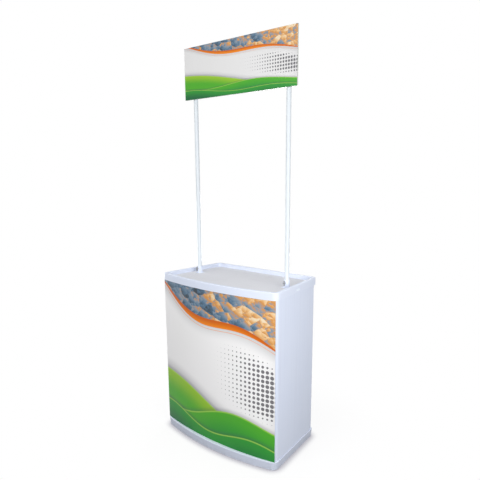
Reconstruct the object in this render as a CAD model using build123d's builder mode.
from build123d import *
from math import cos, degrees, hypot, radians, sin, sqrt, tan
import os

# Promotional counter with a curved printed front, two poles and a header sign.
# Millimetres. X runs to the visitor's right, Y to the back, Z up.
# The origin is on the floor, under the centre of the counter's box.

# Prints, the two sizes that everything else is drawn around
print_width = 820.0
print_height = 880.0
print_thickness = 0.6
header_height = 280.0
header_print_thickness = 0.4

# Overall form of the counter
front_margin = 8.0
side_taper = 48.0
side_depth = 450.0
front_bow = 48.0
base_bow = 62.0
tabletop_rise = 40.0
header_rise = 1270.0

# Clearances
fit_gap = 0.3
slide_gap = 0.075
press_gap = 0.05
overrun = 5.0

# Sheets and mouldings
moulding_wall = 4.0
wrap_thickness = 2.5
front_panel_thickness = 3.0
hook_strip_thickness = 1.4
hook_strip_length = 118.0
hook_strip_height = 28.0
strip_height_shares = (0.04, 0.5, 0.96)
strip_turn_shares = (-0.38, 0, 0.38)
lip_overhang = 5.0
wrap_front_round = 24.0
wrap_rear_round = 36.0

# Base tray
foot_height = 4.0
foot_proud = 2.0
foot_radius = 15.0
foot_boss_radius = 19.0
base_lip_height = 50.0
base_floor_top = 30.0
base_front_round = 36.0
base_rear_round = 34.0
base_edge_round = 3.0
base_hem_round = 1.5
base_draft = 6.0
groove_depth = 12.0
groove_wall = 4.0
floor_rib_thickness = 3.0
floor_rib_height = 18.0

# Tabletop tray
tray_front_round = 32.0
tray_rear_round = 30.0
tray_edge_round = 3.5
rim_width = 20.0
rim_inner_round = 14.0
rim_edge_round = 2.0
recess_depth = 22.0
worktop_thickness = 4.0
tray_rib_thickness = 3.0
tray_rib_drop = 8.0
tray_brace_height = 12.0

# Upright tubes and header poles
tube_diameter = 25.0
tube_wall = 1.5
upright_inset = 42.0
cup_wall = 4.0
cup_height = 26.0
pole_side_inset = 47.0
pole_forward = 6.0
pole_joint_rise = 470.0
coupler_length = 110.0
plug_length = 16.0
plug_flange = 2.0

# Pole sockets on the worktop
socket_floor = 6.0
socket_depth_below = 58.0
socket_tube_wall = 4.0
socket_collar_wall = 3.0
socket_collar_height = 40.0
socket_boss_width = 14.0
socket_boss_reach = 20.0
socket_boss_round = 5.0
socket_flange_width = 44.0
socket_flange_depth = 48.0
socket_flange_thickness = 2.0
socket_flange_round = 9.0
socket_flange_edge = 0.8
socket_edge_round = 1.5
socket_screw_diameter = 3.0
socket_screw_head = 6.0
socket_screw_inset = 6.0

# Clamp knobs
knob_height_above_worktop = 25.0
knob_hub_radius = 6.0
knob_depth = 9.0
knob_span = 27.0
knob_wing_thickness = 6.0
knob_gap = 0.6
knob_edge_round = 1.2
stud_diameter = 6.0

# Side catches of the tabletop
catch_length = 40.0
catch_height = 11.0
catch_proud = 1.6
catch_drop = 26.0
catch_flange_margin = 3.0
catch_flange_thickness = 1.4
catch_travel = 2.5
catch_housing_margin = 8.0

# Shelf
shelf_thickness = 4.0
shelf_gap = 6.0
shelf_rim_height = 22.0
shelf_rim_thickness = 3.0
shelf_notch_gap = 1.5
shelf_corner_round = 14.0
shelf_rib_height = 10.0
clip_height = 16.0
clip_wall = 5.0
clip_flange_reach = 7.0
clip_flange_thickness = 4.0

# Back opening and its edge trims
back_return_width = 70.0
trim_depth = 14.0
trim_wall = 1.6

# Header
header_overhang = 62.0
header_core_thickness = 8.0
header_band_thickness = 1.0
sleeve_length = 205.0
sleeve_wall = 3.0
sleeve_front_wall = 2.0
sleeve_plate_width = 64.0
sleeve_plate_thickness = 3.0
sleeve_cap = 6.0
sleeve_rise = 15.0
rivet_radius = 4.0
rivet_head = 1.6
rivet_shank_radius = 2.0
rivet_inset = 9.0

# Widths, depths and heights worked out from the sizes above
front_width = print_width + 2 * front_margin
back_width = front_width - 2 * side_taper
back_opening_width = back_width - 2 * back_return_width
pole_x = back_width / 2 - pole_side_inset
header_width = 2 * (pole_x + header_overhang)
y_front = -(side_depth + base_bow) / 2 + base_bow
y_back = y_front + side_depth
pole_y = (y_front + y_back) / 2 - pole_forward
print_bottom = base_lip_height
print_top = print_bottom + print_height
counter_height = print_top + tabletop_rise
header_top = counter_height + header_rise
pole_joint_height = counter_height + pole_joint_rise
skirt_bottom = print_top + fit_gap
worktop_top = counter_height - recess_depth
tray_floor_top = worktop_top - worktop_thickness
tray_floor_bottom = tray_floor_top - moulding_wall
wrap_bottom = base_lip_height - groove_depth
wrap_top = print_top + groove_depth
wrap_front_inset = lip_overhang + print_thickness + front_panel_thickness + hook_strip_thickness
pole_bottom = worktop_top - socket_depth_below
sleeve_bottom = header_top - header_height + sleeve_rise
pole_top = sleeve_bottom + sleeve_length - sleeve_cap
tube_radius = tube_diameter / 2
tube_bore = tube_radius - tube_wall
socket_bore = tube_radius + slide_gap
header_print_back = pole_y - socket_bore - sleeve_front_wall - header_core_thickness
shelf_top = print_bottom + print_height / 2
shelf_bottom = shelf_top - shelf_thickness
sides = {"left": -1, "right": 1}


def arc_radius(bow):
    """Radius of a front edge that bows out by this much over the front width."""
    return (front_width**2 / 4 + bow**2) / (2 * bow)


def arc_centre_y(bow):
    """Y of the centre of that front edge's circle."""
    return y_front - bow + arc_radius(bow)


def side_direction():
    """Unit vector along the right side, from front to back."""
    run = (back_width - front_width) / 2
    length = hypot(run, side_depth)
    return run / length, side_depth / length


def side_point(distance, inset, side):
    """Point on a side wall line, a distance back from the front corner."""
    dx, dy = side_direction()
    x = front_width / 2 + dx * distance - dy * inset
    y = y_front + dy * distance + dx * inset
    return side * x, y


def side_x(y, inset):
    """Half width between the side wall lines at a depth."""
    dx, dy = side_direction()
    start_x, start_y = side_point(0, inset, 1)
    return start_x + dx / dy * (y - start_y)


def front_corner(front_inset, side_inset, bow):
    """Where the front arc meets the right side line, before rounding."""
    dx, dy = side_direction()
    px, py = side_point(0, side_inset, 1)
    py -= arc_centre_y(bow)
    radius = arc_radius(bow) - front_inset
    half = px * dx + py * dy
    along = -half - sqrt(half**2 - px**2 - py**2 + radius**2)
    return px + dx * along, py + dy * along + arc_centre_y(bow)


def plan(front_inset, side_inset, bow, front_round, rear_round, mode=Mode.ADD):
    """Plan of the counter: bowed front, sides that close in, straight back."""
    corner_x, corner_y = front_corner(front_inset, side_inset, bow)
    rear_y = y_back - side_inset
    rear_x = side_x(rear_y, side_inset)
    with BuildSketch(mode=Mode.PRIVATE) as shape:
        with BuildLine():
            ThreePointArc(
                (-corner_x, corner_y), (0, y_front - bow + front_inset), (corner_x, corner_y)
            )
            Polyline(
                (corner_x, corner_y), (rear_x, rear_y), (-rear_x, rear_y), (-corner_x, corner_y)
            )
        make_face()
        corners = shape.vertices().sort_by(Axis.Y)
        fillet(corners[:2], front_round)
        fillet(shape.vertices().sort_by(Axis.Y)[-2:], rear_round)
    add(shape.sketch, mode=mode)


def outline(inset, bow, front_round, rear_round, mode=Mode.ADD):
    """Plan of a moulding, drawn in from its outer edge by the same amount all round."""
    plan(inset, inset, bow, front_round - inset, rear_round - inset, mode)


def wrap_plan(inset, mode=Mode.ADD):
    """Plan of the wrap sheet's outer face, drawn in by an inset."""
    plan(
        wrap_front_inset + inset,
        lip_overhang + inset,
        front_bow,
        wrap_front_round - inset,
        wrap_rear_round - inset,
        mode,
    )


def recess_plan(inset, mode=Mode.ADD):
    """Plan of the sunken worktop, drawn in from the rim's inner edge."""
    whole = rim_width + inset
    plan(whole, whole, front_bow, rim_inner_round - inset, rim_inner_round - inset, mode)


def upright_places():
    """Centres of the four upright tubes, inside the wrap's rounded corners."""
    corner_x, corner_y = front_corner(upright_inset, upright_inset, front_bow)
    rear_y = y_back - upright_inset
    rear_x = side_x(rear_y, upright_inset)
    return {
        "front_left": (-corner_x, corner_y),
        "front_right": (corner_x, corner_y),
        "rear_left": (-rear_x, rear_y),
        "rear_right": (rear_x, rear_y),
    }


def foot_places():
    """Centres of the six rubber feet: under the uprights, and front and back between."""
    front_y = y_front - front_bow + upright_inset
    rear_y = y_back - upright_inset
    return [*upright_places().values(), (0, front_y), (0, rear_y)]


def save(piece, name):
    """Label a finished piece and write it as one STEP file."""
    piece.part.label = name
    export_step(piece.part, f"parts/{name}.step")


def base_lean(height):
    """How far the base's sides have drawn in at a height, below its lip."""
    return (base_lip_height - height) * tan(radians(base_draft))


def make_base_tray():
    """Moulded base: lip, groove for the wrap, floor, cups and a ribbed underside."""
    floor_bottom = base_floor_top - moulding_wall
    rib_bottom = floor_bottom - floor_rib_height
    inner_inset = wrap_thickness + fit_gap + groove_wall
    with BuildPart() as base:
        with BuildSketch(Plane.XY.offset(base_lip_height)):
            outline(0, base_bow, base_front_round, base_rear_round)
        extrude(amount=foot_proud - base_lip_height, taper=base_draft)
        fillet(base.faces().sort_by(Axis.Z)[-1].outer_wire().edges(), base_edge_round)
        fillet(base.faces().sort_by(Axis.Z)[0].outer_wire().edges(), base_hem_round)
        with BuildSketch(Plane.XY.offset(base_floor_top)):
            wrap_plan(inner_inset)
        extrude(amount=base_lip_height - base_floor_top + overrun, mode=Mode.SUBTRACT)
        with BuildSketch(Plane.XY.offset(floor_bottom)):
            hollow_inset = moulding_wall + base_lean(floor_bottom)
            outline(hollow_inset, base_bow, base_front_round, base_rear_round)
        extrude(amount=foot_proud - floor_bottom, taper=base_draft, mode=Mode.SUBTRACT)
        with BuildSketch(Plane.XY.offset(wrap_bottom)):
            wrap_plan(-fit_gap)
            wrap_plan(wrap_thickness + fit_gap, mode=Mode.SUBTRACT)
            with Locations((0, y_back)):
                Rectangle(
                    back_opening_width - 2 * fit_gap, 4 * wrap_rear_round, mode=Mode.SUBTRACT
                )
        extrude(amount=groove_depth + overrun, mode=Mode.SUBTRACT)
        with BuildSketch(Plane.XY.offset(rib_bottom)):
            with Locations((0, (y_front + y_back) / 2)):
                with GridLocations(front_width / 4, 0, 3, 1):
                    Rectangle(floor_rib_thickness, 2 * side_depth)
                with GridLocations(0, side_depth / 3, 1, 2):
                    Rectangle(front_width, floor_rib_thickness)
            rib_inset = moulding_wall / 2 + base_lean(rib_bottom)
            outline(rib_inset, base_bow, base_front_round, base_rear_round, Mode.INTERSECT)
        extrude(amount=floor_rib_height)
        with BuildSketch(Plane.XY.offset(foot_proud)):
            with Locations(*foot_places()):
                Circle(foot_boss_radius)
        extrude(amount=floor_bottom - foot_proud)
        with BuildSketch(Plane.XY.offset(foot_proud)):
            with Locations(*foot_places()):
                Circle(foot_radius + fit_gap)
        extrude(amount=foot_height - foot_proud, mode=Mode.SUBTRACT)
        with BuildSketch(Plane.XY.offset(base_floor_top)):
            with Locations(*upright_places().values()):
                Circle(tube_radius + fit_gap + cup_wall)
                Circle(tube_radius + fit_gap, mode=Mode.SUBTRACT)
        extrude(amount=cup_height)
    save(base, "base_tray")


def make_base_feet():
    """Six rubber pads let into the bosses under the base."""
    with BuildPart() as feet:
        with BuildSketch():
            with Locations(*foot_places()):
                Circle(foot_radius)
        extrude(amount=foot_height)
    save(feet, "base_feet")


def make_wrap_panel():
    """White plastic sheet bent round the sides, the front and the rear corners."""
    with BuildPart() as wrap:
        with BuildSketch(Plane.XY.offset(wrap_bottom)):
            wrap_plan(0)
            wrap_plan(wrap_thickness, mode=Mode.SUBTRACT)
            with Locations((0, y_back)):
                Rectangle(back_opening_width, 4 * wrap_rear_round, mode=Mode.SUBTRACT)
        extrude(amount=wrap_top - wrap_bottom)
        for side in sides.values():
            with BuildSketch(catch_plane(side)):
                Rectangle(catch_notch_length(), 2 * catch_notch_height())
            extrude(amount=-rim_width, mode=Mode.SUBTRACT)
    save(wrap, "wrap_panel")


def catch_plane(side):
    """Plane on the tabletop's outer side face, at the middle of the catch."""
    x, y = side_point(side_depth / 2 - pole_forward, 0, side)
    dx, dy = side_direction()
    return Plane(
        origin=(x, y, counter_height - catch_drop),
        x_dir=(side * dx, dy, 0),
        z_dir=(side * dy, -dx, 0),
    )


def catch_notch_length():
    """Length of the gap that the sheet and the tray's inner rib leave for a catch."""
    return catch_length + 2 * (catch_flange_margin + catch_housing_margin)


def catch_notch_height():
    """Half height of that gap, over the catch's own middle."""
    return catch_height / 2 + catch_flange_margin + fit_gap


def front_arc_sheet(inset, thickness, length):
    """Section of a bowed sheet on the front, of a given arc length and thickness."""
    radius = arc_radius(front_bow) - inset
    half = length / (2 * radius)
    inner = radius - thickness
    centre = arc_centre_y(front_bow)
    with BuildSketch(mode=Mode.PRIVATE) as sheet:
        with BuildLine():
            outer_arc = ThreePointArc(
                (-radius * sin(half), centre - radius * cos(half)),
                (0, centre - radius),
                (radius * sin(half), centre - radius * cos(half)),
            )
            inner_arc = ThreePointArc(
                (-inner * sin(half), centre - inner * cos(half)),
                (0, centre - inner),
                (inner * sin(half), centre - inner * cos(half)),
            )
            Line(outer_arc @ 0, inner_arc @ 0)
            Line(outer_arc @ 1, inner_arc @ 1)
        make_face()
    add(sheet.sketch)


def make_front_panel():
    """Bowed plastic board that carries the front print."""
    with BuildPart() as panel:
        with BuildSketch(Plane.XY.offset(print_bottom)):
            front_arc_sheet(lip_overhang + print_thickness, front_panel_thickness, print_width)
        extrude(amount=print_height)
    save(panel, "front_panel")


def make_front_graphic():
    """Printed film over the whole front board."""
    with BuildPart() as film:
        with BuildSketch(Plane.XY.offset(print_bottom)):
            front_arc_sheet(lip_overhang, print_thickness, print_width)
        extrude(amount=print_height)
    save(film, "front_graphic")


def make_hook_strips():
    """Hook and loop tapes between the wrap sheet and the front board."""
    inset = wrap_front_inset - hook_strip_thickness + press_gap
    radius = arc_radius(front_bow) - inset
    centre_line = Axis((0, arc_centre_y(front_bow), 0), (0, 0, 1))
    with BuildPart() as strips:
        for height_share in strip_height_shares:
            bottom = print_bottom + height_share * print_height - hook_strip_height / 2
            with BuildSketch(Plane.XY.offset(bottom)) as tape:
                front_arc_sheet(inset, hook_strip_thickness - 2 * press_gap, hook_strip_length)
            for turn_share in strip_turn_shares:
                turn = degrees(turn_share * print_width / radius)
                extrude(tape.sketch.rotate(centre_line, turn), amount=hook_strip_height)
    save(strips, "hook_strips")


def make_edge_trims():
    """Channel trims over the two free edges of the wrap at the back opening."""
    sheet_y = y_back - lip_overhang - wrap_thickness / 2
    slot = wrap_thickness + 2 * press_gap
    for name, side in sides.items():
        trim_x = side * (back_opening_width / 2 - trim_wall)
        with BuildPart() as trim:
            with BuildSketch(Plane.XY.offset(base_lip_height)):
                with Locations((trim_x + side * trim_depth / 2, sheet_y)):
                    Rectangle(trim_depth, slot + 2 * trim_wall)
                with Locations((trim_x + side * (trim_wall + trim_depth), sheet_y)):
                    Rectangle(2 * trim_depth, slot, mode=Mode.SUBTRACT)
            extrude(amount=skirt_bottom - base_lip_height)
        save(trim, f"{name}_edge_trim")


def make_uprights():
    """Four tubes that carry the tabletop between cups in the two mouldings."""
    for name, place in upright_places().items():
        with BuildPart() as tube:
            with BuildSketch(Plane.XY.offset(base_floor_top)):
                with Locations(place):
                    Circle(tube_radius)
                    Circle(tube_bore, mode=Mode.SUBTRACT)
            extrude(amount=tray_floor_bottom - base_floor_top)
        save(tube, f"{name}_upright")


def make_shelf():
    """Moulded shelf with a turned down edge, notched round the uprights."""
    inset = wrap_thickness + shelf_gap
    notch = tube_radius + shelf_notch_gap
    with BuildPart() as shelf:
        with BuildSketch(Plane.XY.offset(shelf_bottom)):
            shelf_plan(inset)
        extrude(amount=shelf_thickness)
        with BuildSketch(Plane.XY.offset(shelf_top - shelf_rim_height)):
            shelf_plan(inset)
            shelf_plan(inset + shelf_rim_thickness, mode=Mode.SUBTRACT)
        extrude(amount=shelf_rim_height)
        with BuildSketch(Plane.XY.offset(shelf_bottom - shelf_rib_height)):
            with Locations((0, (y_front + y_back) / 2)):
                with GridLocations(back_width / 4, 0, 3, 1):
                    Rectangle(shelf_rim_thickness, 2 * side_depth)
            shelf_plan(inset + shelf_rim_thickness / 2, mode=Mode.INTERSECT)
        extrude(amount=shelf_rib_height)
        with BuildSketch(Plane.XY.offset(shelf_top - shelf_rim_height)):
            for x, y in upright_places().values():
                reach = upright_inset if x > 0 else -upright_inset
                with Locations((x, y)):
                    Circle(notch)
                with Locations((x + reach / 2, y)):
                    Rectangle(upright_inset, 2 * notch)
        extrude(amount=shelf_rim_height + overrun, mode=Mode.SUBTRACT)
    save(shelf, "shelf")


def shelf_plan(inset, mode=Mode.ADD):
    """Plan of the shelf, inside the wrap sheet."""
    plan(
        wrap_front_inset + inset,
        lip_overhang + inset,
        front_bow,
        shelf_corner_round,
        shelf_corner_round,
        mode,
    )


def make_shelf_clips():
    """Clamp rings on the uprights, with a flange under the shelf."""
    with BuildPart() as clips:
        with BuildSketch(Plane.XY.offset(shelf_bottom - clip_height)):
            with Locations(*upright_places().values()):
                Circle(tube_radius + press_gap + clip_wall)
                Circle(tube_radius + press_gap, mode=Mode.SUBTRACT)
        extrude(amount=clip_height)
        with BuildSketch(Plane.XY.offset(shelf_bottom - clip_flange_thickness)):
            with Locations(*upright_places().values()):
                Circle(tube_radius + clip_flange_reach)
                Circle(tube_radius + press_gap, mode=Mode.SUBTRACT)
        extrude(amount=clip_flange_thickness)
    save(clips, "shelf_clips")


def make_tabletop_tray():
    """Moulded tabletop: skirt, raised rim, sunken floor, cups and braces."""
    rib_inset = wrap_thickness + fit_gap
    with BuildPart() as tray:
        with BuildSketch(Plane.XY.offset(skirt_bottom)):
            outline(0, front_bow, tray_front_round, tray_rear_round)
        extrude(amount=counter_height - skirt_bottom)
        fillet(tray.faces().sort_by(Axis.Z)[-1].outer_wire().edges(), tray_edge_round)
        with BuildSketch(Plane.XY.offset(skirt_bottom)):
            outline(moulding_wall, front_bow, tray_front_round, tray_rear_round)
        extrude(amount=counter_height - moulding_wall - skirt_bottom, mode=Mode.SUBTRACT)
        with BuildSketch(Plane.XY.offset(tray_floor_bottom - tray_rib_drop)):
            wrap_plan(rib_inset)
            wrap_plan(rib_inset + tray_rib_thickness, mode=Mode.SUBTRACT)
        extrude(amount=counter_height - moulding_wall / 2 - tray_floor_bottom + tray_rib_drop)
        with BuildSketch(Plane.XY.offset(tray_floor_bottom)):
            recess_plan(-moulding_wall)
        extrude(amount=counter_height - moulding_wall / 2 - tray_floor_bottom)
        with BuildSketch(Plane.XY.offset(tray_floor_top)):
            recess_plan(0)
        extrude(amount=counter_height - tray_floor_top + overrun, mode=Mode.SUBTRACT)
        rim = tray.faces().filter_by(Axis.Z).sort_by(Axis.Z)[-1]
        fillet(rim.inner_wires()[0].edges(), rim_edge_round)
        with BuildSketch(Plane.XY.offset(tray_floor_bottom - tray_brace_height)):
            with Locations((0, (y_front + y_back) / 2)):
                with GridLocations(front_width / 4, 0, 3, 1):
                    Rectangle(tray_rib_thickness, 2 * side_depth)
                with GridLocations(0, side_depth / 2, 1, 2):
                    Rectangle(front_width, tray_rib_thickness)
            recess_plan(-moulding_wall, mode=Mode.INTERSECT)
        extrude(amount=tray_brace_height)
        with BuildSketch(Plane.XY.offset(tray_floor_bottom - cup_height)):
            with Locations(*upright_places().values()):
                Circle(tube_radius + fit_gap + cup_wall)
        extrude(amount=cup_height)
        with BuildSketch(Plane.XY.offset(tray_floor_bottom - cup_height)):
            with Locations(*upright_places().values()):
                Circle(tube_radius + fit_gap)
        extrude(amount=cup_height, mode=Mode.SUBTRACT)
        with BuildSketch(Plane.XY.offset(tray_floor_bottom - tray_brace_height)):
            with Locations((-pole_x, pole_y), (pole_x, pole_y)):
                Circle(socket_bore + socket_tube_wall + fit_gap)
        extrude(amount=tray_brace_height + 2 * moulding_wall, mode=Mode.SUBTRACT)
        for side in sides.values():
            with BuildSketch(catch_plane(side)):
                SlotOverall(catch_length + 2 * fit_gap, catch_height + 2 * fit_gap)
            extrude(amount=-moulding_wall - fit_gap, mode=Mode.SUBTRACT)
            with BuildSketch(catch_plane(side).offset(-moulding_wall)):
                Rectangle(catch_notch_length(), 2 * catch_notch_height())
            extrude(amount=-(rim_width - 2 * moulding_wall), mode=Mode.SUBTRACT)
    save(tray, "tabletop_tray")


def make_worktop_panel():
    """Grey laminate sheet that lies on the tray's floor."""
    with BuildPart() as worktop:
        with BuildSketch(Plane.XY.offset(tray_floor_top)):
            recess_plan(fit_gap)
            with Locations((-pole_x, pole_y), (pole_x, pole_y)):
                Circle(socket_bore + socket_tube_wall + fit_gap, mode=Mode.SUBTRACT)
        extrude(amount=worktop_thickness)
    save(worktop, "worktop_panel")


def socket_screw_places(side):
    """Centres of a socket's four fixing screws, at the corners of its flange."""
    half_x = socket_flange_width / 2 - socket_screw_inset
    half_y = socket_flange_depth / 2 - socket_screw_inset
    return [
        (side * pole_x + x, pole_y + y) for x in (-half_x, half_x) for y in (-half_y, half_y)
    ]


def make_pole_sockets():
    """Moulded sockets through the worktop that hold the header poles."""
    knob_z = worktop_top + knob_height_above_worktop
    for name, side in sides.items():
        with BuildPart() as socket:
            with BuildSketch(Plane.XY.offset(pole_bottom - socket_floor)):
                with Locations((side * pole_x, pole_y)):
                    Circle(socket_bore + socket_tube_wall)
            extrude(amount=worktop_top - pole_bottom + socket_floor)
            with BuildSketch(Plane.XY.offset(worktop_top)):
                with Locations((side * pole_x, pole_y)):
                    RectangleRounded(socket_flange_width, socket_flange_depth, socket_flange_round)
            extrude(amount=socket_flange_thickness)
            fillet(socket.faces().sort_by(Axis.Z)[-1].edges(), socket_flange_edge)
            with BuildSketch(Plane.XY.offset(worktop_top)):
                with Locations((side * pole_x, pole_y)):
                    Circle(socket_bore + socket_collar_wall)
                with Locations((side * pole_x, pole_y - socket_boss_reach / 2)):
                    RectangleRounded(socket_boss_width, socket_boss_reach, socket_boss_round)
            extrude(amount=socket_collar_height)
            fillet(socket.faces().sort_by(Axis.Z)[-1].edges(), socket_edge_round)
            with BuildSketch(Plane.XY.offset(pole_bottom)):
                with Locations((side * pole_x, pole_y)):
                    Circle(socket_bore)
            extrude(amount=socket_depth_below + socket_collar_height + overrun, mode=Mode.SUBTRACT)
            with BuildSketch(Plane((side * pole_x, pole_y, knob_z), z_dir=(0, -1, 0))):
                Circle(stud_diameter / 2 + press_gap)
            extrude(amount=socket_boss_reach + overrun, mode=Mode.SUBTRACT)
            with BuildSketch(Plane.XY.offset(worktop_top)):
                with Locations(*socket_screw_places(side)):
                    Circle(socket_screw_diameter / 2 + fit_gap)
            extrude(amount=socket_flange_thickness, mode=Mode.SUBTRACT)
        save(socket, f"{name}_pole_socket")


def make_socket_screws():
    """Pan head screws that hold the socket flanges down on the worktop."""
    top = worktop_top + socket_flange_thickness
    with BuildPart() as screws:
        for side in sides.values():
            with BuildSketch(Plane.XY.offset(top)):
                with Locations(*socket_screw_places(side)):
                    Circle(socket_screw_head / 2)
            extrude(amount=socket_screw_diameter / 2)
            with BuildSketch(Plane.XY.offset(worktop_top)):
                with Locations(*socket_screw_places(side)):
                    Circle(socket_screw_diameter / 2)
            extrude(amount=socket_flange_thickness)
    save(screws, "socket_screws")


def make_clamp_knobs():
    """Wing knobs on studs that press on the poles from the front."""
    knob_z = worktop_top + knob_height_above_worktop
    knob_back = pole_y - socket_boss_reach - knob_gap
    for name, side in sides.items():
        seat = Plane((side * pole_x, knob_back, knob_z), x_dir=(1, 0, 0), z_dir=(0, -1, 0))
        with BuildPart() as knob:
            with BuildSketch(seat):
                Circle(knob_hub_radius)
                RectangleRounded(knob_wing_thickness, knob_span, knob_wing_thickness / 2 - knob_gap)
            extrude(amount=knob_depth)
            fillet(knob.faces().sort_by(Axis.Y)[0].edges(), knob_edge_round)
            with BuildSketch(seat):
                Circle(stud_diameter / 2)
            extrude(amount=-(knob_back_to_pole() - fit_gap))
        save(knob, f"{name}_clamp_knob")


def knob_back_to_pole():
    """Distance from the back of a clamp knob to the pole's face."""
    return socket_boss_reach + knob_gap - tube_radius


def make_catches():
    """Oblong press buttons in the tray's sides, and the housings behind them."""
    flange_length = catch_length + 2 * catch_flange_margin
    flange_height = catch_height + 2 * catch_flange_margin
    housing_front = moulding_wall + fit_gap + catch_flange_thickness + catch_travel + fit_gap
    housing_depth = rim_width - moulding_wall - housing_front
    for name, side in sides.items():
        face = catch_plane(side)
        with BuildPart() as button:
            with BuildSketch(face.offset(-moulding_wall - fit_gap)):
                SlotOverall(catch_length, catch_height)
            extrude(amount=moulding_wall + fit_gap + catch_proud)
            fillet(button.faces().sort_by(Axis.X)[-1 if side > 0 else 0].edges(), catch_proud / 2)
            with BuildSketch(face.offset(-moulding_wall - fit_gap)):
                SlotOverall(flange_length, flange_height)
            extrude(amount=-catch_flange_thickness)
        save(button, f"{name}_catch_button")
        with BuildPart() as housing:
            with BuildSketch(face.offset(-housing_front)):
                Rectangle(flange_length, flange_height)
            extrude(amount=-housing_depth)
        save(housing, f"{name}_catch_housing")


def make_poles():
    """Sectional header poles, their inner couplers and end plugs."""
    for name, side in sides.items():
        centre = (side * pole_x, pole_y)
        with BuildPart() as lower:
            with BuildSketch(Plane.XY.offset(pole_bottom)):
                with Locations(centre):
                    Circle(tube_radius)
                    Circle(tube_bore, mode=Mode.SUBTRACT)
            extrude(amount=pole_joint_height - pole_bottom)
        save(lower, f"{name}_lower_pole")
        with BuildPart() as upper:
            with BuildSketch(Plane.XY.offset(pole_joint_height)):
                with Locations(centre):
                    Circle(tube_radius)
                    Circle(tube_bore, mode=Mode.SUBTRACT)
            extrude(amount=pole_top - plug_flange - pole_joint_height)
        save(upper, f"{name}_upper_pole")
        with BuildPart() as coupler:
            with BuildSketch(Plane.XY.offset(pole_joint_height - coupler_length / 2)):
                with Locations(centre):
                    Circle(tube_bore - press_gap)
            extrude(amount=coupler_length)
            chamfer(coupler.faces().sort_by(Axis.Z)[-1].edges(), tube_wall)
        save(coupler, f"{name}_pole_coupler")
    with BuildPart() as plugs:
        with BuildSketch(Plane.XY.offset(pole_top - plug_flange)):
            with Locations((-pole_x, pole_y), (pole_x, pole_y)):
                Circle(tube_radius)
        extrude(amount=plug_flange)
        with BuildSketch(Plane.XY.offset(pole_top - plug_flange - plug_length)):
            with Locations((-pole_x, pole_y), (pole_x, pole_y)):
                Circle(tube_bore - press_gap)
        extrude(amount=plug_length)
    save(plugs, "pole_end_plugs")


def header_plane(y):
    """Upright plane through the header's centre at a depth, facing the front."""
    return Plane((0, y, header_top - header_height / 2), x_dir=(1, 0, 0), z_dir=(0, -1, 0))


def make_header():
    """Header board, its edge band and its printed film."""
    core_width = header_width - 2 * header_band_thickness
    core_height = header_height - 2 * header_band_thickness
    with BuildPart() as board:
        with BuildSketch(header_plane(header_print_back)):
            Rectangle(core_width, core_height)
        extrude(amount=-header_core_thickness)
    save(board, "header_panel")
    with BuildPart() as band:
        with BuildSketch(header_plane(header_print_back)):
            Rectangle(header_width, header_height)
            Rectangle(core_width, core_height, mode=Mode.SUBTRACT)
        extrude(amount=-header_core_thickness)
    save(band, "header_edge_band")
    with BuildPart() as film:
        with BuildSketch(header_plane(header_print_back)):
            Rectangle(header_width, header_height)
        extrude(amount=header_print_thickness)
    save(film, "header_graphic")


def rivet_places():
    """Rivet centres on the header's plates, in the header plane's own axes."""
    half_x = sleeve_plate_width / 2 - rivet_inset
    middle = sleeve_bottom + sleeve_length / 2 - (header_top - header_height / 2)
    half_z = sleeve_length / 2 - rivet_inset
    return [
        (side * pole_x + x, middle + z)
        for side in sides.values()
        for x in (-half_x, half_x)
        for z in (-half_z, half_z)
    ]


def make_header_sleeves():
    """Blind sleeves on the header's back that drop over the pole ends."""
    board_back = header_print_back + header_core_thickness
    for name, side in sides.items():
        with BuildPart() as sleeve:
            with BuildSketch(Plane.XY.offset(sleeve_bottom)):
                with Locations((side * pole_x, board_back + sleeve_plate_thickness / 2)):
                    Rectangle(sleeve_plate_width, sleeve_plate_thickness)
                with Locations((side * pole_x, pole_y)):
                    Circle(socket_bore + sleeve_wall)
                with Locations((side * pole_x, board_back - sleeve_plate_width / 2)):
                    Rectangle(sleeve_plate_width, sleeve_plate_width, mode=Mode.SUBTRACT)
            extrude(amount=sleeve_length)
            with BuildSketch(Plane.XY.offset(sleeve_bottom)):
                with Locations((side * pole_x, pole_y)):
                    Circle(socket_bore)
            extrude(amount=sleeve_length - sleeve_cap, mode=Mode.SUBTRACT)
            with BuildSketch(header_plane(board_back)):
                with Locations(*rivet_places()):
                    Circle(rivet_shank_radius + press_gap)
            extrude(amount=-sleeve_plate_thickness, mode=Mode.SUBTRACT)
        save(sleeve, f"{name}_header_sleeve")
    with BuildPart() as rivets:
        with BuildSketch(header_plane(board_back + sleeve_plate_thickness)):
            with Locations(*rivet_places()):
                Circle(rivet_radius)
        extrude(amount=-rivet_head)
        with BuildSketch(header_plane(board_back)):
            with Locations(*rivet_places()):
                Circle(rivet_shank_radius)
        extrude(amount=-sleeve_plate_thickness)
    save(rivets, "header_rivets")


os.makedirs("parts", exist_ok=True)
make_base_tray()
make_base_feet()
make_wrap_panel()
make_front_panel()
make_front_graphic()
make_hook_strips()
make_edge_trims()
make_uprights()
make_shelf()
make_shelf_clips()
make_tabletop_tray()
make_worktop_panel()
make_pole_sockets()
make_socket_screws()
make_clamp_knobs()
make_catches()
make_poles()
make_header()
make_header_sleeves()
